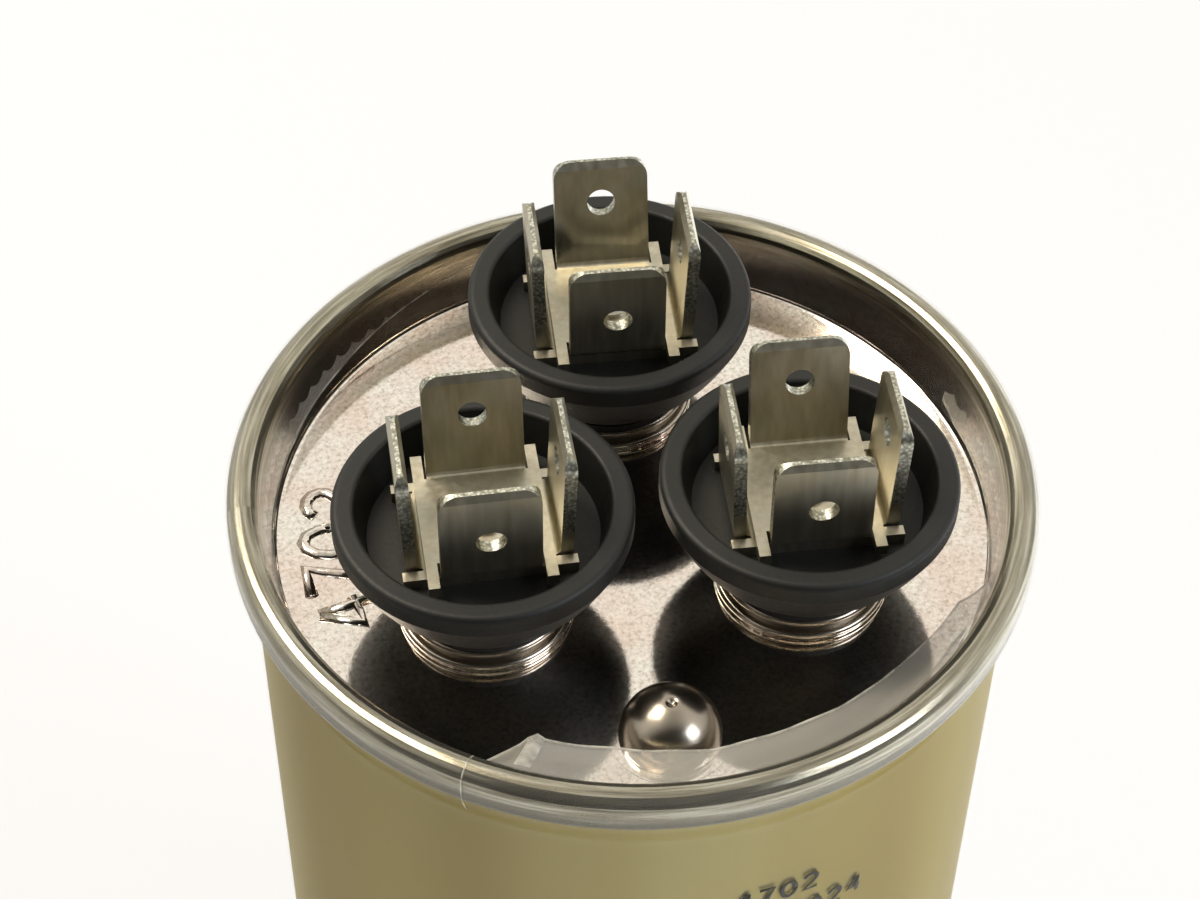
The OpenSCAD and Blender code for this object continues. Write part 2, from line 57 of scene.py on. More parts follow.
CAN_R = 25.4 * MM                       # outside of the can's straight wall
SEAM_TOP = lid_high.z                   # top of the double seam
SEAM_R = lid_high.x                     # outside of the double seam
PANEL_DEPTH = 5.0 * MM                  # from the seam's top down to the panel
PANEL_Z = SEAM_TOP - PANEL_DEPTH        # the lid's flat panel
PANEL_R = 23.9 * MM                     # foot of the lid's wall
WALL_TOP_R = 24.85 * MM                 # where the lid's wall meets the seam's crest
BLADE_H = 7.5 * MM                      # height of the part's own blades above their top plate
PLATE_Z = blades_high.z - BLADE_H       # top of the blades' plates
FILM_T = 0.1 * MM                       # thickness of the clear film
FILM_OFF = 0.1 * MM                     # from the metal to the film's middle
CREST_R = (SEAM_R - WALL_TOP_R) / 2 + FILM_OFF
CREST = ((SEAM_R + WALL_TOP_R) / 2, SEAM_TOP - CREST_R + FILM_OFF)


# ---- Materials -------------------------------------------------------------------

# Where one finish passes into another, as the two ends of the change
SEAM_FOOT_SHADE = (SEAM_TOP - 1.3 * MM, SEAM_TOP - 2.2 * MM)          # height: painted shade, the seam is darkened towards its foot
SEAM_SKIN = (WALL_TOP_R - 0.9 * MM, WALL_TOP_R - 0.2 * MM)      # radius: panel skin to roller lines
PRESSED_UP = (PANEL_Z + 0.2 * MM, PANEL_Z + 0.6 * MM)           # height: flat panel to raised skin, duller and with painted shade
PRESSED_WITHIN = (22.0 * MM, 21.2 * MM)                         # radius: no raised skin and no painted shade outside this
LOOSE_FILM = (WALL_TOP_R, PANEL_R + 0.3 * MM)                   # radius: hugging film to free lip
BLADE_ROOT = (PLATE_Z + 1.0 * MM, PLATE_Z + 1.3 * MM)           # height: bent root to standing blade

# Cells of a noise per radian round the can and per metre up it
DRAW_STREAKS = (70, 22, 1)
DRAW_BANDS = (1.6, 2, 1)
ROLLER_LINES = 0.0012                   # metres per radian, so that the lines run round the seam


def linear(hex_colour):
    """sRGB hex to the linear colour that a shader takes."""
    parts = [int(hex_colour[i:i + 2], 16) / 255 for i in (1, 3, 5)]
    return tuple(c / 12.92 if c <= 0.04045 else ((c + 0.055) / 1.055) ** 2.4 for c in parts) + (1.0,)


def add(tree, kind, inputs=None, stops=None, **settings):
    """Adds a node with its settings. An input is a number, a hex colour or another node's output."""
    made = tree.nodes.new("ShaderNode" + kind)
    for name, value in settings.items():
        setattr(made, name, value)
    for socket, value in (inputs or {}).items():
        if isinstance(value, bpy.types.NodeSocket):
            tree.links.new(value, made.inputs[socket])
        else:
            made.inputs[socket].default_value = linear(value) if isinstance(value, str) else value
    if stops:
        ramp = made.color_ramp
        while len(ramp.elements) < len(stops):
            ramp.elements.new(0.5)
        for element, (place, colour) in zip(ramp.elements, stops):
            element.position = place
            element.color = linear(colour)
    return made


def finish_named(name, surface, **sockets):
    """A material whose Principled surface takes the given constants, with its tree and its shader."""
    made = bpy.data.materials.new(name)
    made.use_nodes = True
    tree = made.node_tree
    shader = tree.nodes["Principled BSDF"]
    shader.inputs["Base Color"].default_value = linear(surface)
    for socket, value in sockets.items():
        shader.inputs[socket.replace("_", " ")].default_value = value
    return made, tree, shader


def place(tree, stretch=(1, 1, 1)):
    """Object coordinates in metres, stretched along the axes for drawn or rolled grain."""
    coords = add(tree, "TexCoord")
    return add(tree, "Mapping", {"Vector": coords.outputs["Object"], "Scale": stretch}).outputs["Vector"]


def around(tree):
    """Coordinates that run round the can's axis: radius, turn and height."""
    xyz = add(tree, "SeparateXYZ", {"Vector": place(tree)})
    radius = add(tree, "VectorMath", {0: add(tree, "CombineXYZ", {
        "X": xyz.outputs["X"], "Y": xyz.outputs["Y"]}).outputs["Vector"]}, operation="LENGTH")
    turn = add(tree, "Math", {0: xyz.outputs["Y"], 1: xyz.outputs["X"]}, operation="ARCTAN2")
    return radius.outputs["Value"], turn.outputs["Value"], xyz.outputs["Z"]


def per(size_mm):
    """Noise scale for a feature of this size."""
    return 1 / (size_mm * MM)


def drawn_aluminium():
    """Deep-drawn aluminium under clear film: long draw streaks up the wall and a warm, dull shine."""
    made, tree, shader = finish_named("drawn_aluminium", "#877540", Metallic=0.8, Roughness=0.42,
                                      Specular_Tint=linear("#b5a669"))
    _, turn, height = around(tree)
    wall = add(tree, "CombineXYZ", {"X": turn, "Y": height}).outputs["Vector"]
    fine = add(tree, "Mapping", {"Vector": wall, "Scale": DRAW_STREAKS}).outputs["Vector"]
    streaks = add(tree, "TexNoise", {"Vector": fine, "Scale": 1.0, "Detail": 4.0})
    wide = add(tree, "Mapping", {"Vector": wall, "Scale": DRAW_BANDS}).outputs["Vector"]
    bands = add(tree, "TexNoise", {"Vector": wide, "Scale": 1.0, "Detail": 1.0})
    tone = add(tree, "MixRGB", {"Fac": streaks.outputs["Fac"], "Color1": "#87763a", "Color2": "#9c9053"})
    broad = add(tree, "ValToRGB", {"Fac": bands.outputs["Fac"]},
                stops=[(0.35, "#7f6e36"), (0.65, "#b3ab78")])
    both = add(tree, "MixRGB", {"Fac": 0.45, "Color1": tone.outputs["Color"],
                                "Color2": broad.outputs["Color"]})
    tree.links.new(both.outputs["Color"], shader.inputs["Base Color"])
    rough = add(tree, "MapRange", {"Value": streaks.outputs["Fac"], "To Min": 0.36, "To Max": 0.52})
    tree.links.new(rough.outputs["Result"], shader.inputs["Roughness"])
    relief = add(tree, "Bump", {"Height": streaks.outputs["Fac"], "Strength": 0.15, "Distance": 0.05 * MM})
    tree.links.new(relief.outputs["Normal"], shader.inputs["Normal"])
    return made


def tinplate_skin(name, bright, dull):
    """Tinplate, pressed and seamed: a mirror under fine stone grain, with roller lines on the seam."""
    made, tree, shader = finish_named(name, "#f0ebe4", Metallic=1.0, Roughness=bright)
    radius, turn, height = around(tree)
    grain = add(tree, "TexNoise", {"Vector": place(tree), "Scale": per(0.3), "Detail": 3.0,
                                   "Roughness": 0.7})
    bloom = add(tree, "TexNoise", {"Vector": place(tree), "Scale": per(4), "Detail": 2.0})
    speck = add(tree, "ValToRGB", {"Fac": grain.outputs["Fac"]},
                stops=[(0.30, "#c9c3ba"), (0.46, "#ece8e3"), (0.66, "#fffdfa")])
    warm = add(tree, "ValToRGB", {"Fac": bloom.outputs["Fac"]},
               stops=[(0.35, "#f1e4dc"), (0.65, "#fafaf6")])
    panel = add(tree, "MixRGB", {"Fac": 0.8, "Color1": speck.outputs["Color"],
                                 "Color2": warm.outputs["Color"]}, blend_type="MULTIPLY")
    round_seam = add(tree, "Math", {0: turn, 1: ROLLER_LINES}, operation="MULTIPLY").outputs["Value"]
    lines = add(tree, "CombineXYZ", {"X": radius, "Y": round_seam, "Z": height}).outputs["Vector"]
    rolled = add(tree, "TexNoise", {"Vector": lines, "Scale": per(0.28), "Detail": 3.0})
    seam = add(tree, "ValToRGB", {"Fac": rolled.outputs["Fac"]},
               stops=[(0.32, "#746f5e"), (0.5, "#9c9784"), (0.68, "#bdbbac")])
    # Painted shade: towards its foot the seam's colour is mixed to dark #5f5c50, standing in for a darker
    # reflection there
    foot = add(tree, "MapRange", {"Value": height, "From Min": SEAM_FOOT_SHADE[0], "From Max": SEAM_FOOT_SHADE[1]})
    seam = add(tree, "MixRGB", {"Fac": foot.outputs["Result"], "Color1": seam.outputs["Color"],
                                "Color2": "#5f5c50"})
    on_seam = add(tree, "MapRange", {"Value": radius, "From Min": SEAM_SKIN[0],
                                     "From Max": SEAM_SKIN[1]}).outputs["Result"]
    colour = add(tree, "MixRGB", {"Fac": on_seam, "Color1": panel.outputs["Color"],
                                  "Color2": seam.outputs["Color"]})
    # Painted shade: raised skin (the terminals' collars and the dome) is mixed to darker #a69e92 for darker
    # reflections; its duller roughness is the worked metal's own
    pressed = add(tree, "MapRange", {"Value": height, "From Min": PRESSED_UP[0],
                                     "From Max": PRESSED_UP[1]})
    inside = add(tree, "MapRange", {"Value": radius, "From Min": PRESSED_WITHIN[0],
                                    "From Max": PRESSED_WITHIN[1]})
    raised_dull_and_shade = add(tree, "Math", {0: pressed.outputs["Result"], 1: inside.outputs["Result"]},
                    operation="MULTIPLY")
    skin = add(tree, "MixRGB", {"Fac": raised_dull_and_shade.outputs["Value"], "Color1": colour.outputs["Color"],
                                "Color2": "#a69e92"})
    tree.links.new(skin.outputs["Color"], shader.inputs["Base Color"])
    polish = add(tree, "MapRange", {"Value": grain.outputs["Fac"], "To Min": bright, "To Max": dull})
    worked = add(tree, "Math", {0: on_seam, 1: raised_dull_and_shade.outputs["Value"]}, operation="MAXIMUM")
    rough = add(tree, "MapRange", {"Value": worked.outputs["Value"], "To Min": polish.outputs["Result"],
                                   "To Max": 0.24})
    tree.links.new(rough.outputs["Result"], shader.inputs["Roughness"])
    tone = add(tree, "MixRGB", {"Fac": on_seam, "Color1": grain.outputs["Color"],
                                "Color2": rolled.outputs["Color"]})
    relief = add(tree, "Bump", {"Height": tone.outputs["Color"], "Strength": 0.12, "Distance": 0.02 * MM})
    tree.links.new(relief.outputs["Normal"], shader.inputs["Normal"])
    return made


def shrink_film():
    """Clear PVC, heat shrunk: clear where it hugs the metal, a pale veil on the loose lip, glossy."""
    made, tree, shader = finish_named("shrunk_pvc_film", "#d9d7cf", Roughness=0.12, IOR=1.53,
                                      Specular_IOR_Level=1.0)
    slant = add(tree, "LayerWeight", {"Blend": 0.3})
    wave = add(tree, "TexNoise", {"Vector": place(tree), "Scale": per(7), "Detail": 2.0})
    cloud = add(tree, "MapRange", {"Value": wave.outputs["Fac"], "From Min": 0.3, "From Max": 0.7,
                                   "To Min": 0.18, "To Max": 0.28})
    radius, _, _ = around(tree)
    loose = add(tree, "MapRange", {"Value": radius, "From Min": LOOSE_FILM[0], "From Max": LOOSE_FILM[1],
                                   "To Min": 0.15, "To Max": 1.0})
    glancing = add(tree, "MapRange", {"Value": loose.outputs["Result"], "To Min": 0.05, "To Max": 0.35})
    face_on = add(tree, "Math", {0: cloud.outputs["Result"], 1: loose.outputs["Result"]},
                  operation="MULTIPLY")
    veil = add(tree, "MapRange", {"Value": slant.outputs["Fresnel"], "To Min": face_on.outputs["Value"],
                                  "To Max": glancing.outputs["Result"]})
    tree.links.new(veil.outputs["Result"], shader.inputs["Alpha"])
    relief = add(tree, "Bump", {"Height": wave.outputs["Fac"], "Strength": 0.2, "Distance": 0.15 * MM})
    tree.links.new(relief.outputs["Normal"], shader.inputs["Normal"])
    return made


def film_edge_and_highlight():
    """Clear PVC, knife cut: the film's edge reads as a pale line, partly the cut edge's own whiteness and
    partly a painted highlight; on the pinched fold it is a painted highlight.
    """
    made, tree, shader = finish_named("pvc_cut_edge_and_highlight", "#e2e0d6", Roughness=0.25, IOR=1.53)
    nicks = add(tree, "TexNoise", {"Vector": place(tree), "Scale": per(1.5), "Detail": 2.0})
    faint = add(tree, "MapRange", {"Value": nicks.outputs["Fac"], "From Min": 0.35, "From Max": 0.65,
                                   "To Min": 0.15, "To Max": 0.6})
    tree.links.new(faint.outputs["Result"], shader.inputs["Alpha"])
    return made


def moulded_phenolic():
    """Black phenolic, compression moulded: a dull, near-black skin with fine grain and a soft sheen."""
    made, tree, shader = finish_named("moulded_phenolic", "#121413", Roughness=0.5, IOR=1.45)
    grain = add(tree, "TexNoise", {"Vector": place(tree), "Scale": per(0.35), "Detail": 3.0})
    cloud = add(tree, "TexNoise", {"Vector": place(tree), "Scale": per(4), "Detail": 2.0})
    tone = add(tree, "MixRGB", {"Fac": cloud.outputs["Fac"], "Color1": "#090b0b", "Color2": "#151713"})
    tree.links.new(tone.outputs["Color"], shader.inputs["Base Color"])
    rough = add(tree, "MapRange", {"Value": grain.outputs["Fac"], "To Min": 0.42, "To Max": 0.6})
    tree.links.new(rough.outputs["Result"], shader.inputs["Roughness"])
    relief = add(tree, "Bump", {"Height": grain.outputs["Fac"], "Strength": 0.3, "Distance": 0.05 * MM})
    tree.links.new(relief.outputs["Normal"], shader.inputs["Normal"])
    return made


def tinned_strip(name, face):
    """Tin-plated strip, blanked and folded: warm grey rolled faces, and bright crystalline cut edges.

    face is the axis that the blades' faces look along."""
    made, tree, shader = finish_named(name, "#aaa288", Metallic=1.0, Roughness=0.34)
    coords = add(tree, "TexCoord")
    normal = add(tree, "SeparateXYZ", {"Vector": coords.outputs["Normal"]})
    height = add(tree, "SeparateXYZ", {"Vector": coords.outputs["Object"]}).outputs["Z"]
    rolled = add(tree, "TexNoise", {"Vector": place(tree, (1, 1, 0.12)), "Scale": per(0.5), "Detail": 4.0})
    patch = add(tree, "TexNoise", {"Vector": place(tree), "Scale": per(2.2), "Detail": 3.0})
    crystal = add(tree, "TexVoronoi", {"Vector": place(tree), "Scale": per(0.22)})
    skin = add(tree, "ValToRGB", {"Fac": rolled.outputs["Fac"]},
               stops=[(0.30, "#b7af9a"), (0.52, "#c3bca8"), (0.72, "#cec8b7")])
    tarnish = add(tree, "MapRange", {"Value": patch.outputs["Fac"], "From Min": 0.4, "From Max": 0.75,
                                     "To Max": 0.5})
    aged = add(tree, "MixRGB", {"Fac": tarnish.outputs["Result"], "Color1": skin.outputs["Color"],
                                "Color2": "#b4b9ad"})
    facing = add(tree, "Math", {0: normal.outputs[face]}, operation="ABSOLUTE")
    sheared = add(tree, "MapRange", {"Value": facing.outputs["Value"], "From Min": 0.6, "From Max": 0.45})
    standing = add(tree, "MapRange", {"Value": height, "From Min": BLADE_ROOT[0],
                                      "From Max": BLADE_ROOT[1]})
    cut_edge = add(tree, "Math", {0: sheared.outputs["Result"], 1: standing.outputs["Result"]},
                   operation="MULTIPLY")
    sparkle = add(tree, "ValToRGB", {"Fac": crystal.outputs["Distance"]},
                  stops=[(0.1, "#e9ebe2"), (0.5, "#b4b4a5"), (0.8, "#8c8b7d")])
    colour = add(tree, "MixRGB", {"Fac": cut_edge.outputs["Value"], "Color1": aged.outputs["Color"],
                                  "Color2": sparkle.outputs["Color"]})
    tree.links.new(colour.outputs["Color"], shader.inputs["Base Color"])
    rough = add(tree, "MapRange", {"Value": rolled.outputs["Fac"], "To Min": 0.28, "To Max": 0.42})
    tree.links.new(rough.outputs["Result"], shader.inputs["Roughness"])
    tooth = add(tree, "MapRange", {"Value": cut_edge.outputs["Value"], "To Min": 0.12, "To Max": 0.9})
    relief_of = add(tree, "MixRGB", {"Fac": cut_edge.outputs["Value"], "Color1": rolled.outputs["Color"],
                                     "Color2": crystal.outputs["Color"]})
    relief = add(tree, "Bump", {"Height": relief_of.outputs["Color"], "Strength": tooth.outputs["Result"],
                                "Distance": 0.05 * MM})
    tree.links.new(relief.outputs["Normal"], shader.inputs["Normal"])
    return made


def plain_finish(name, low, high, size_mm, stretch=(1, 1, 1), relief_mm=0.03, **sockets):
    """A finish of two close tones in a noise of the given size, with a little relief."""
    made, tree, shader = finish_named(name, low, **sockets)
    cloud = add(tree, "TexNoise", {"Vector": place(tree, stretch), "Scale": per(size_mm), "Detail": 4.0})
    tone = add(tree, "MixRGB", {"Fac": cloud.outputs["Fac"], "Color1": low, "Color2": high})
    tree.links.new(tone.outputs["Color"], shader.inputs["Base Color"])
    relief = add(tree, "Bump", {"Height": cloud.outputs["Fac"], "Strength": 0.3,
                                "Distance": relief_mm * MM})
    tree.links.new(relief.outputs["Normal"], shader.inputs["Normal"])
    return made


def wear(node, material):
    """Puts a material on one of the part's own pieces."""
    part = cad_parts[node]
    part.data.materials.clear()
    part.data.materials.append(material)


phenolic = moulded_phenolic()
# Tinplate, pressed: near-mirror panel and seam, and a duller skin where the dome is stretched
tinplate = tinplate_skin("bright_tinplate", 0.04, 0.11)
stretched_tinplate = tinplate_skin("stretched_tinplate", 0.14, 0.26)
side_strip = tinned_strip("tinned_strip_across", "X")
fore_strip = tinned_strip("tinned_strip_along", "Y")
# Nitrile rubber, cut: dull black with a dusty grain
nitrile = plain_finish("cut_nitrile_rubber", "#0d0d0d", "#1b1a19", 0.4, Roughness=0.8)
# Tin-plated steel, headed: soft grey shine
tinned_rivet = plain_finish("headed_tinned_rivet", "#9d9b92", "#bcbab0", 0.6, Metallic=1.0, Roughness=0.35)
# Pressed board, punched: brown fibres with no shine
pressed_board = plain_finish("pressed_board", "#4c3220", "#6d4a31", 0.5, (1, 1, 4), Roughness=0.85)
# Tin-plated brass lug, blanked: pale and bright
tinned_lug = plain_finish("blanked_tinned_lug", "#b5b2a6", "#cfccc2", 0.8, Metallic=1.0, Roughness=0.3)
# Sealing compound, flowed in: dull tan rubber
compound = plain_finish("flowed_sealing_compound", "#6b5738", "#806a47", 1.2, Roughness=0.7)
# Metallised polypropylene film, wound: fine turns seen as a pearly grey
wound_film = plain_finish("wound_polypropylene", "#bdb9aa", "#dedbd0", 0.6, (1, 1, 0.1), Roughness=0.3)
# Zinc, flame sprayed: a dull, gritty grey
sprayed_zinc = plain_finish("sprayed_zinc", "#6e6f70", "#9a9b9b", 0.35, relief_mm=0.12,
                            Metallic=0.9, Roughness=0.65)
# Polypropylene, injection moulded: milky cream
moulded_plastic = plain_finish("moulded_polypropylene", "#c9c09c", "#d8d1b4", 5, Roughness=0.45)
# Polypropylene tube, extruded: milky, with lines along it
extruded_tube = plain_finish("extruded_polypropylene", "#d5d0c2", "#e3dfd4", 2, (4, 4, 0.2), Roughness=0.4)
# Kraft paper, calendered: brown fibres
kraft = plain_finish("calendered_kraft", "#a48f60", "#bda878", 0.9, (1, 1, 2.5), Roughness=0.8)
# PVC wire covering, extruded: even, slightly glossy red, blue and yellow
red_wire = plain_finish("extruded_pvc_red", "#7d231c", "#93322a", 1.5, Roughness=0.4)
blue_wire = plain_finish("extruded_pvc_blue", "#22375c", "#2f4974", 1.5, Roughness=0.4)
yellow_wire = plain_finish("extruded_pvc_yellow", "#8f7c26", "#a8943a", 1.5, Roughness=0.4)

wear("can", drawn_aluminium())
wear("lid", tinplate)
wear("seam_compound", compound)
for terminal in TERMINALS:
    wear("cup_" + terminal, phenolic)
    wear("gasket_" + terminal, nitrile)
    wear("rivet_" + terminal, tinned_rivet)
    wear("inner_washer_" + terminal, pressed_board)
    wear("inner_lug_" + terminal, tinned_lug)
    wear("lower_blades_" + terminal, side_strip)
    wear("upper_blades_" + terminal, fore_strip)
for node in ("large_winding", "small_winding"):
    wear(node, wound_film)
for node in ("large_spray_bottom", "large_spray_top", "small_spray_bottom", "small_spray_top"):
    wear(node, sprayed_zinc)
for node in ("bottom_insulator", "section_insulator", "top_insulator"):
    wear(node, moulded_plastic)
wear("core_tube", extruded_tube)
wear("pack_wrap", kraft)
wear("lead_large", red_wire)
wear("lead_common", blue_wire)
wear("lead_small", yellow_wire)


# ---- Clear sleeve ----------------------------------------------------------------

TURN_STEPS = 300                        # round the can
WALL_STEPS, SLOPE_STEPS, CREST_STEPS, LIP_STEPS = 10, 10, 16, 12       # up the film's way at one turn
FOOT_Z = 2.0 * MM                       # the film's lower end, at the can's base corner
SLOPE_DROP = 5.6 * MM                   # from the crest's middle down to where the film leaves the wall
SHOULDER_DROP = 0.9 * MM                # from the crest's middle down to where the film meets the seam
CREST_TURN = 175                        # degrees that the film follows over the seam's crest
LIP_SAG = 0.25 * MM                     # how far the free lip hangs between the seam and its edge
LIP_FREE_BY = 1.5                       # the lip is fully free at 1 / this of its way
OVERLAP_AT = -120.5                     # turn of the line where the film's end laps over
OVERLAP_FROM = 14                       # number of the way's point where that line starts
FOLD_AT = -114.5                        # turn of the pinched fold in the lip
FOLD_W, FOLD_H = 0.9, 0.7 * MM          # the fold's half width in degrees, and its height
RIPPLES = ((0.12 * MM, 9), (0.05 * MM, 31))     # height, and waves in a full turn
EDGE_BEAD_R = 0.09 * MM                 # the bead that stands for the film's cut edge
OVERLAP_BEAD_R, OVERLAP_LIFT = 0.04 * MM, 0.02 * MM
BEAD_SIDES = 6

# The film's inner edge round the rim: turn in degrees, height above the panel and radius in mm.
# With no radius, the film lies on the lid's wall; elsewhere it stands free of it as a flat lip.
FILM_EDGE = (
    (-121.5, 2.6, None), (-119.0, 2.4, 22.8), (-116.0, 2.3, 21.3), (-113.5, 2.3, 20.8),
    (-100.0, 2.3, 20.6), (-92.0, 2.3, 20.75), (-84.0, 2.3, 21.1), (-76.0, 2.3, 21.2),
    (-61.0, 2.3, 21.5), (-49.0, 2.3, 21.7),
    (-41.0, 2.25, 22.1), (-30.0, 2.0, 22.7), (-22.0, 1.1, None), (-15.0, 0.5, None), (13.0, 0.5, None),
    (18.0, 1.0, None), (19.5, 3.8, None), (58.0, 3.8, None), (60.0, 3.0, None), (100.0, 2.7, None),
    (113.0, 2.6, None), (140.0, 1.1, None), (165.0, 0.5, None), (237.0, 0.5, None), (238.5, 2.6, None))


def ease(t):
    """0 to 1 with a level start and end."""
    t = min(1.0, max(0.0, t))
    return t * t * (3 - 2 * t)


def film_edge(turn):
    """Radius and height of the film's inner edge at a turn, and how far it stands free (0 to 1)."""
    first = FILM_EDGE[0][0]
    turn = (turn - first) % 360 + first
    for start, end in zip(FILM_EDGE, FILM_EDGE[1:]):
        if start[0] <= turn <= end[0]:
            break
    t = (turn - start[0]) / (end[0] - start[0])
    above = (start[1] + (end[1] - start[1]) * t) * MM
    lying = PANEL_R + (WALL_TOP_R - PANEL_R) * above / (CREST[1] - PANEL_Z) - FILM_OFF
    radii = [lying if stop[2] is None else stop[2] * MM for stop in (start, end)]
    radius = radii[0] + (radii[1] - radii[0]) * t
    return radius, PANEL_Z + above, min(1.0, (lying - radius) / MM)


def wrinkle(turn):
    """Height of the pinched fold beside the overlap and of the slow ripples along the lip."""
    fold = FOLD_H * math.exp(-((turn - FOLD_AT) / FOLD_W) ** 2)
    return fold + sum(height * math.sin(math.radians(turn) * waves) for height, waves in RIPPLES)


def sleeve_row(turn):
    """The film's way at one turn: up the can's wall, over the seam and in to its edge."""
    wall, out = CAN_R + FILM_OFF, SEAM_R + FILM_OFF
    slope_z = CREST[1] - SLOPE_DROP
    way = [(wall, FOOT_Z + i * (slope_z - FOOT_Z) / WALL_STEPS) for i in range(WALL_STEPS)]
    for i in range(SLOPE_STEPS):
        t = i / (SLOPE_STEPS - 1)
        way.append((wall + (out - wall) * ease(t), slope_z + t * (CREST[1] - SHOULDER_DROP - slope_z)))
    for i in range(CREST_STEPS + 1):
        a = math.radians(CREST_TURN * i / CREST_STEPS)
        way.append((CREST[0] + CREST_R * math.cos(a), CREST[1] + CREST_R * math.sin(a)))
    start = way[-1]
    edge_r, edge_z, free = film_edge(turn)
    turned = (turn + 180) % 360 - 180
    for i in range(1, LIP_STEPS + 1):
        t = i / LIP_STEPS
        lift = free * ease(t * LIP_FREE_BY) * (wrinkle(turned) - LIP_SAG * math.sin(math.pi * t))
        way.append((start[0] + (edge_r - start[0]) * t, start[1] + (edge_z - start[1]) * t + lift))
    return way


def at_turn(point, turn):
    """A point given as radius and height, set at a turn round the can's axis."""
    a = math.radians(turn)
    return Vector((point[0] * math.cos(a), point[0] * math.sin(a), point[1]))


def thicken(way, half):
    """The same way moved aside by half a thickness, outwards when that is positive."""
    moved = []
    for i, (r, z) in enumerate(way):
        (r0, z0), (r1, z1) = way[max(0, i - 1)], way[min(len(way) - 1, i + 1)]
        length = math.hypot(r1 - r0, z1 - z0)
        moved.append((r + half * (z1 - z0) / length, z - half * (r1 - r0) / length))
    return moved


def tube(mesh, points, radius, material, closed):
    """A fine bead along a line of points, as the film's cut edge."""
    rings, count = [], len(points)
    for i, point in enumerate(points):
        back = points[(i - 1) % count] if closed or i else point
        ahead = points[(i + 1) % count] if closed or i < count - 1 else point
        along = (ahead - back).normalized()
        side = along.cross(Vector((0, 0, 1)) if abs(along.z) < 0.9 else Vector((0, 1, 0))).normalized()
        over = side.cross(along)
        rings.append([mesh.verts.new(point + radius * (math.cos(a) * side + math.sin(a) * over))
                      for a in (math.radians(360 / BEAD_SIDES * k) for k in range(BEAD_SIDES))])
    for i in range(count if closed else count - 1):
        near, far = rings[i], rings[(i + 1) % count]
        for k in range(BEAD_SIDES):
            m = (k + 1) % BEAD_SIDES
            mesh.faces.new((near[k], near[m], far[m], far[k])).material_index = material
    if not closed:
        mesh.faces.new(rings[0]).material_index = material
        mesh.faces.new(rings[-1]).material_index = material


def put(name, mesh, materials):
    """Turns a built mesh into an object with smooth faces that rides on the root."""
    bmesh.ops.recalc_face_normals(mesh, faces=mesh.faces)
    data = bpy.data.meshes.new(name)
    mesh.to_mesh(data)
    mesh.free()
    for material in materials:
        data.materials.append(material)
    data.shade_smooth()
    made = bpy.data.objects.new(name, data)
    bpy.context.scene.collection.objects.link(made)
    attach(made, "root")
    return made


def sleeve():
    """The shrunk film as one thin closed shell, with beads for its cut edge and its overlap."""
    mesh = bmesh.new()
    turns = [360 * k / TURN_STEPS - 180 for k in range(TURN_STEPS)]
    outer, inner, edge = [], [], []
    for turn in turns:
        way = sleeve_row(turn)
        outer.append([mesh.verts.new(at_turn(p, turn)) for p in thicken(way, FILM_T / 2)])
        inner.append([mesh.verts.new(at_turn(p, turn)) for p in thicken(way, -FILM_T / 2)])
        edge.append(at_turn(way[-1], turn))
    rows = len(outer[0])
    for k in range(TURN_STEPS):
        m = (k + 1) % TURN_STEPS
        for i in range(rows - 1):
            top = mesh.faces.new((outer[k][i], outer[m][i], outer[m][i + 1], outer[k][i + 1]))
            # Painted highlight: the lip's faces at the pinched fold take the pale edge film
            pinched = i > rows - LIP_STEPS and abs(turns[k] - FOLD_AT) < FOLD_W
            top.material_index = 1 if pinched else 0
            mesh.faces.new((inner[k][i], inner[k][i + 1], inner[m][i + 1], inner[m][i]))
        for i in (0, rows - 1):
            mesh.faces.new((outer[k][i], inner[k][i], inner[m][i], outer[m][i]))
    tube(mesh, edge, EDGE_BEAD_R, 1, True)
    lap = thicken(sleeve_row(OVERLAP_AT)[OVERLAP_FROM:-1], OVERLAP_LIFT)
    tube(mesh, [at_turn(p, OVERLAP_AT) for p in lap], OVERLAP_BEAD_R, 1, False)
    made = put("sleeve", mesh, (shrink_film(), film_edge_and_highlight()))
    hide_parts("clear_sleeve")


sleeve()


# ---- Stamped dome ----------------------------------------------------------------

DOME_AT = Vector((0.0, -17.8 * MM, PANEL_Z))
DOME_R, DOME_H = 3.3 * MM, 3.2 * MM
DENT_R, DENT_DEPTH = 0.5 * MM, 0.25 * MM
SKIRT_R, SKIRT_Z = 3.95 * MM, 0.03 * MM         # the skirt covers the part's own shallow dimple
DOME_SIDES, DOME_STEPS, DENT_STEPS = 60, 24, 4
HAIR = 1e-5                             # metres: keeps points off the axis and off the panel


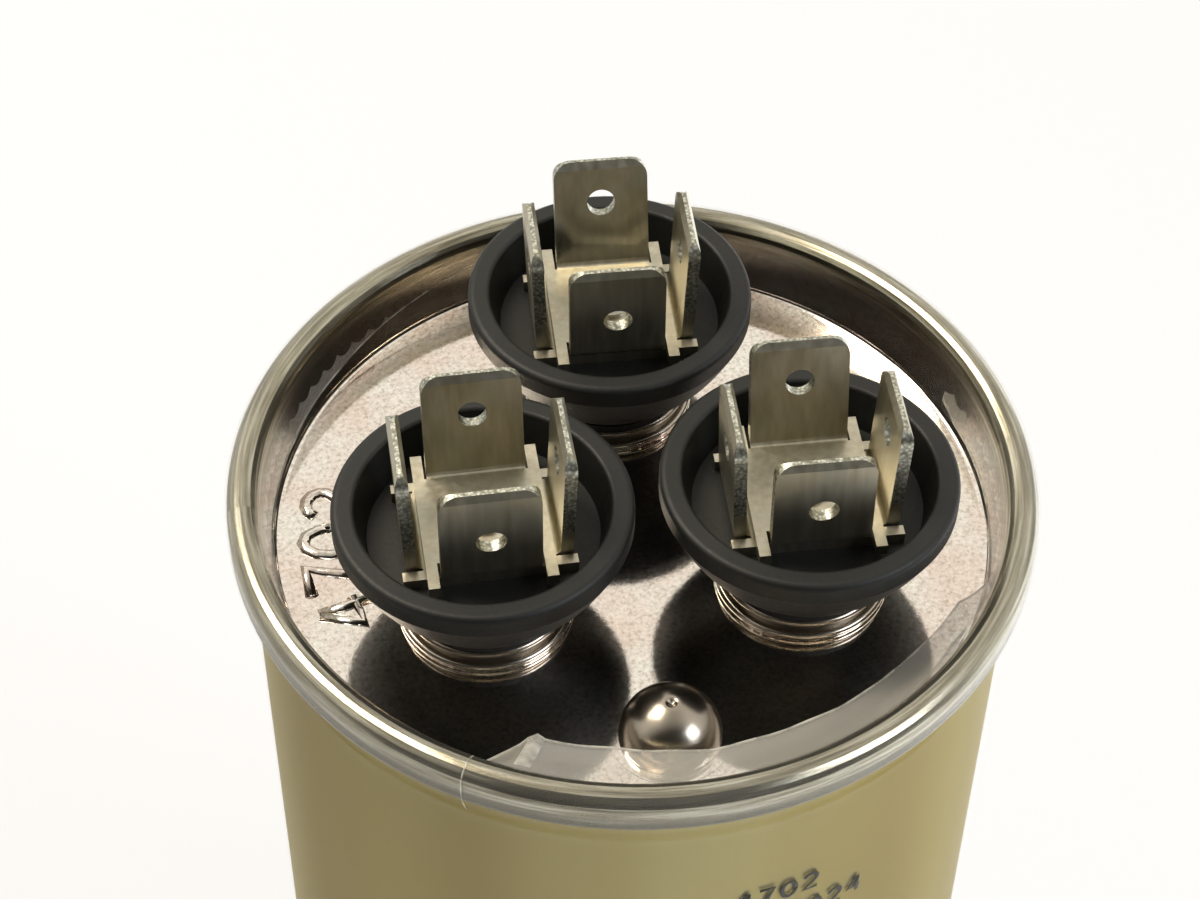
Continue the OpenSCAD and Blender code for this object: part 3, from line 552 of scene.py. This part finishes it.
def dome():
    """The dome stamped near the lid's front edge, with a small dent at its crown and a flat skirt."""
    ball_r = (DOME_R ** 2 + DOME_H ** 2) / (2 * DOME_H)
    mid_z = DOME_H - ball_r
    first, last = math.asin(DENT_R / ball_r), math.pi / 2 + math.asin((ball_r - DOME_H) / ball_r)
    profile = [(DENT_R * i / DENT_STEPS, DOME_H - DENT_DEPTH * (1 - ease(i / DENT_STEPS)))
               for i in range(DENT_STEPS)]
    for i in range(DOME_STEPS + 1):
        a = first + (last - first) * i / DOME_STEPS
        profile.append((ball_r * math.sin(a), mid_z + ball_r * math.cos(a)))
    mesh = bmesh.new()
    turns = [360 / DOME_SIDES * k for k in range(DOME_SIDES)]
    rings = [[mesh.verts.new(DOME_AT + at_turn((max(r, HAIR), max(z, 0) + HAIR), turn)) for turn in turns]
             for r, z in profile]
    for near, far in zip(rings, rings[1:]):
        for k in range(DOME_SIDES):
            m = (k + 1) % DOME_SIDES
            mesh.faces.new((near[k], near[m], far[m], far[k]))
    mesh.faces.new(rings[0])
    skirt = [[mesh.verts.new(DOME_AT + at_turn((r, SKIRT_Z), turn)) for turn in turns]
             for r in (DOME_R, SKIRT_R)]
    for k in range(DOME_SIDES):
        m = (k + 1) % DOME_SIDES
        mesh.faces.new((skirt[0][k], skirt[0][m], skirt[1][m], skirt[1][k])).material_index = 1
    put("stamped_dome", mesh, (stretched_tinplate, tinplate))


dome()


# ---- Blades, bent by hand --------------------------------------------------------

# Heights above the plates as bent, where the part's own are BLADE_H
REAR_H, FRONT_H, SIDE_H = 7.3 * MM, 6.7 * MM, 7.3 * MM

# Lean outwards in degrees, of the part's own blade and as bent
REAR_BENT = {"back": (12, 16), "left": (7, 10), "right": (10, 13)}
FRONT_BENT = {"back": (3, -3), "left": (4, -2), "right": (3, -2)}

# Beyond EAR_END from the terminal's middle, the folded ears are EAR_CUT shorter
EAR_END, EAR_CUT = 5.5 * MM, 0.4 * MM


def bend(node, move):
    """A copy of the part's blades with each point moved, to stand for them."""
    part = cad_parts[node]
    data = part.data.copy()
    data.transform(part.matrix_world)
    for vertex in data.vertices:
        vertex.co = move(vertex.co)
    made = bpy.data.objects.new("bent_" + node, data)
    bpy.context.scene.collection.objects.link(made)
    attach(made, "root")
    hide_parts(node)


def blades(terminal):
    """Both blade pairs of a terminal: the upper pair stands front and rear, the lower pair at the sides."""
    low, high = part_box("rivet_" + terminal)
    mid_x, mid_y = (low.x + high.x) / 2, (low.y + high.y) / 2

    def upright(point, tall):
        return max(0.0, point.z - PLATE_Z) * (tall / BLADE_H)

    def along(point):
        rear = point.y > mid_y
        rise = upright(point, REAR_H if rear else FRONT_H)
        part, bent = (math.tan(math.radians(a)) for a in (REAR_BENT if rear else FRONT_BENT)[terminal])
        shift = rise * (bent - part)
        return Vector((point.x, point.y + (shift if rear else -shift), min(point.z, PLATE_Z) + rise))

    def across(point):
        out = point.x - mid_x
        if point.z < PLATE_Z and abs(out) > EAR_END:
            out -= math.copysign(EAR_CUT, out)
        return Vector((mid_x + out, point.y, min(point.z, PLATE_Z) + upright(point, SIDE_H)))

    bend("upper_blades_" + terminal, along)
    bend("lower_blades_" + terminal, across)


for terminal in TERMINALS:
    blades(terminal)


# ---- Stamped numerals ------------------------------------------------------------

NUMERAL_W, NUMERAL_H = 2.4 * MM, 3.7 * MM
STROKE_W, STROKE_H = 0.9 * MM, 0.25 * MM
NUMERAL_R = 20.1 * MM                   # from the can's axis to the numerals' middle
NUMERAL_TURNS = (196.5, 187.4, 178.3, 169.2)

# Across a stroke: way aside in stroke widths, and share of its height; the foot is sunk in
STROKE_PROFILE = ((-0.5, -0.4), (-0.5, 0.1), (-0.25, 0.8), (0, 1), (0.25, 0.8), (0.5, 0.1), (0.5, -0.4))

PRINT_W, PRINT_H, PRINT_PITCH = 1.0 * MM, 1.6 * MM, 1.55 * MM
PRINT_STROKE, INK_T = 0.32 * MM, 0.02 * MM
PRINT_R = CAN_R + FILM_OFF + FILM_T / 2         # outside of the film

# Turn and height of each line's start, and its numerals
PRINT_LINES = ((-82.5, 85.6 * MM, "4702"), (-74.5, 82.5 * MM, "7024"))

# Strokes of each numeral in a cell one wide and one high
STROKES = {
    "4": [((0.78, 0.0), (0.78, 1.0)), ((0.72, 0.98), (0.0, 0.32), (1.0, 0.32))],
    "7": [((0.0, 1.0), (1.0, 1.0), (0.62, 0.45), (0.42, 0.0))],
    "0": [tuple((0.5 + 0.5 * math.cos(math.radians(t)), 0.5 + 0.5 * math.sin(math.radians(t)))
                for t in range(0, 361, 30))],
    "2": [tuple((0.5 + 0.46 * math.cos(math.radians(t)), 0.72 + 0.28 * math.sin(math.radians(t)))
                for t in range(165, -46, -30)) + ((0.0, 0.0), (1.0, 0.0))]}


def write(mesh, numeral, width, height, stroke_w, to_place):
    """Adds a numeral's strokes. to_place takes a point's way along, way up and share of the height."""
    for stroke in STROKES[numeral]:
        line = [Vector((u * width, v * height)) for u, v in stroke]
        rings = []
        for i, point in enumerate(line):
            way = (line[min(i + 1, len(line) - 1)] - line[max(i - 1, 0)]).normalized()
            side = Vector((way.y, -way.x)) * stroke_w
            rings.append([mesh.verts.new(to_place(point.x + side.x * s, point.y + side.y * s, h))
                          for s, h in STROKE_PROFILE])
        count = len(STROKE_PROFILE)
        for near, far in zip(rings, rings[1:]):
            for k in range(count):
                mesh.faces.new((near[k], near[(k + 1) % count], far[(k + 1) % count], far[k]))
        mesh.faces.new(rings[0])
        mesh.faces.new(rings[-1])


def numerals():
    """Four raised numerals pressed in the panel, round its left edge, with their tops outwards."""
    mesh = bmesh.new()
    for numeral, turn in zip("4702", NUMERAL_TURNS):
        out = at_turn((1, 0), turn)
        along = Vector((out.y, -out.x, 0))

        def on_panel(a, b, h, out=out, along=along):
            flat = out * (NUMERAL_R + b - NUMERAL_H / 2) + along * (a - NUMERAL_W / 2)
            return flat + Vector((0, 0, PANEL_Z + STROKE_H * h))

        write(mesh, numeral, NUMERAL_W, NUMERAL_H, STROKE_W, on_panel)
    put("stamped_numerals", mesh, (tinplate,))


def printing():
    """Two lines of plain numerals printed on the sleeve, low on the right."""
    mesh = bmesh.new()
    for turn, low, line in PRINT_LINES:
        for k, numeral in enumerate(line):

            def on_wall(a, b, h, turn=turn, low=low, k=k):
                round_way = turn + math.degrees((k * PRINT_PITCH + a) / PRINT_R)
                return at_turn((PRINT_R + INK_T * h, low + b), round_way)

            write(mesh, numeral, PRINT_W, PRINT_H, PRINT_STROKE, on_wall)
    # Ink, printed: flat and nearly black
    ink = plain_finish("printed_ink", "#2b2a25", "#3a3932", 0.5, Roughness=0.6)
    put("printed_numerals", mesh, (ink,))


numerals()
printing()


# ---- Studio ----------------------------------------------------------------------

FLOOR_REACH = 3                         # metres from the middle to a side
FLOOR_GLOW = 0.7                        # share of plain white in the seen floor; the rest takes the shadow
CAMERA_AT = (-18.8 * MM, -118.6 * MM, 232.9 * MM)
HEADING, DOWN, ROLL = 7.97, 47.48, 0.74         # degrees: towards +X, below level, right side raised
LENS_MM, SENSOR_MM = 81.8, 36
NEAREST = 0.01                          # metres


def studio():
    """A white floor that keeps the shadow, and a white room that is darker in the metal's reflections."""
    floor_mesh = bpy.data.meshes.new("floor")
    corners = [(x * FLOOR_REACH, y * FLOOR_REACH, 0) for x, y in ((-1, -1), (1, -1), (1, 1), (-1, 1))]
    floor_mesh.from_pydata(corners, [], [(0, 1, 2, 3)])
    floor = bpy.data.objects.new("floor", floor_mesh)
    bpy.context.scene.collection.objects.link(floor)
    made, tree, shader = finish_named("pale_floor", "#e9e9e8", Roughness=0.9)
    rays = add(tree, "LightPath")
    side = add(tree, "SeparateXYZ", {"Vector": add(tree, "TexCoord").outputs["Object"]})
    # Painted reflection: seen in the metal, the floor glows brighter towards +X and dimmer towards the
    # front
    bright_side = add(tree, "MapRange", {"Value": side.outputs["X"], "From Min": -0.1, "From Max": 0.1,
                                         "To Min": 0.65, "To Max": 2.2})
    front = add(tree, "MapRange", {"Value": side.outputs["Y"], "From Min": -0.04, "From Max": -0.2,
                                   "To Min": 1.0, "To Max": 0.45})
    reflected_floor_glow = add(tree, "Math", {0: bright_side.outputs["Result"], 1: front.outputs["Result"]},
                operation="MULTIPLY")
    level = add(tree, "MapRange", {"Value": rays.outputs["Is Glossy Ray"], "To Min": 1.0,
                                   "To Max": reflected_floor_glow.outputs["Value"]})
    glow = add(tree, "Emission", {"Color": "#ffffff", "Strength": level.outputs["Result"]})
    seen = add(tree, "Math", {0: rays.outputs["Is Camera Ray"], 1: rays.outputs["Is Glossy Ray"]},
               operation="MAXIMUM")
    seen = add(tree, "Math", {0: seen.outputs["Value"], 1: rays.outputs["Is Transmission Ray"]},
               operation="MAXIMUM")
    share = add(tree, "Math", {0: seen.outputs["Value"], 1: FLOOR_GLOW}, operation="MULTIPLY")
    mixed = add(tree, "MixShader", {"Fac": share.outputs["Value"], 1: shader.outputs["BSDF"],
                                    2: glow.outputs["Emission"]})
    tree.links.new(mixed.outputs["Shader"], tree.nodes["Material Output"].inputs["Surface"])
    floor_mesh.materials.append(made)

    world = bpy.data.worlds.new("studio")
    world.use_nodes = True
    bpy.context.scene.world = world
    tree = world.node_tree
    rays = add(tree, "LightPath")
    seen = add(tree, "Math", {0: rays.outputs["Is Camera Ray"], 1: rays.outputs["Is Transmission Ray"]},
               operation="MAXIMUM")
    way = add(tree, "SeparateXYZ", {"Vector": add(tree, "TexCoord").outputs["Generated"]})
    sky = add(tree, "ValToRGB", {"Fac": way.outputs["Z"]},
              stops=[(0.0, "#c9c6bd"), (0.45, "#fffaf0"), (0.85, "#fff8ec"), (1.0, "#c2bdb2")])
    shade = add(tree, "MapRange", {"Value": way.outputs["Y"], "From Min": -0.1, "From Max": -0.5})
    room = add(tree, "MixRGB", {"Fac": shade.outputs["Result"], "Color1": sky.outputs["Color"],
                                "Color2": "#35342f"})
    light = add(tree, "Background", {"Color": "#fbf7ee", "Strength": 0.55})
    mirror = add(tree, "Background", {"Color": room.outputs["Color"], "Strength": 1.0})
    white = add(tree, "Background", {"Color": "#ffffff", "Strength": 1.0})
    glossy = add(tree, "MixShader", {"Fac": rays.outputs["Is Glossy Ray"], 1: light.outputs["Background"],
                                     2: mirror.outputs["Background"]})
    whole = add(tree, "MixShader", {"Fac": seen.outputs["Value"], 1: glossy.outputs["Shader"],
                                    2: white.outputs["Background"]})
    tree.links.new(whole.outputs["Shader"], tree.nodes["World Output"].inputs["Surface"])


def lamp(name, at, towards, size, watts, colour):
    """A square or oblong lamp, sizes in metres, turned towards a point."""
    data = bpy.data.lights.new(name, "AREA")
    data.shape = "RECTANGLE"
    data.size, data.size_y = size
    data.energy = watts
    data.color = linear(colour)[:3]
    made = bpy.data.objects.new(name, data)
    made.location = at
    made.rotation_mode = "QUATERNION"
    made.rotation_quaternion = (Vector(towards) - Vector(at)).to_track_quat("-Z", "Y")
    bpy.context.scene.collection.objects.link(made)


def camera():
    """The view down onto the lid from above the front."""
    heading, down, roll = math.radians(HEADING), math.radians(DOWN), math.radians(ROLL)
    ahead = Vector((math.sin(heading) * math.cos(down), math.cos(heading) * math.cos(down),
                    -math.sin(down)))
    level = Vector((math.cos(heading), -math.sin(heading), 0))
    upright = level.cross(ahead)
    right = math.cos(roll) * level + math.sin(roll) * upright
    up = -math.sin(roll) * level + math.cos(roll) * upright
    data = bpy.data.cameras.new("camera")
    data.lens = LENS_MM
    data.sensor_width = SENSOR_MM
    made = bpy.data.objects.new("camera", data)
    turned = Matrix((right, up, -ahead)).transposed().to_4x4()
    made.matrix_world = Matrix.Translation(CAMERA_AT) @ turned
    data.clip_start = NEAREST
    bpy.context.scene.collection.objects.link(made)
    bpy.context.scene.camera = made


studio()
camera()
lid_centre = (0, 0, SEAM_TOP)
lamp("key", (-0.35, 0.25, 0.75), lid_centre, (0.35, 0.35), 5.0, "#fff3df")
lamp("fill", (0.5, -0.35, 0.5), lid_centre, (0.3, 0.3), 2.2, "#f2f6ff")

bpy.context.scene.view_settings.view_transform = "Standard"
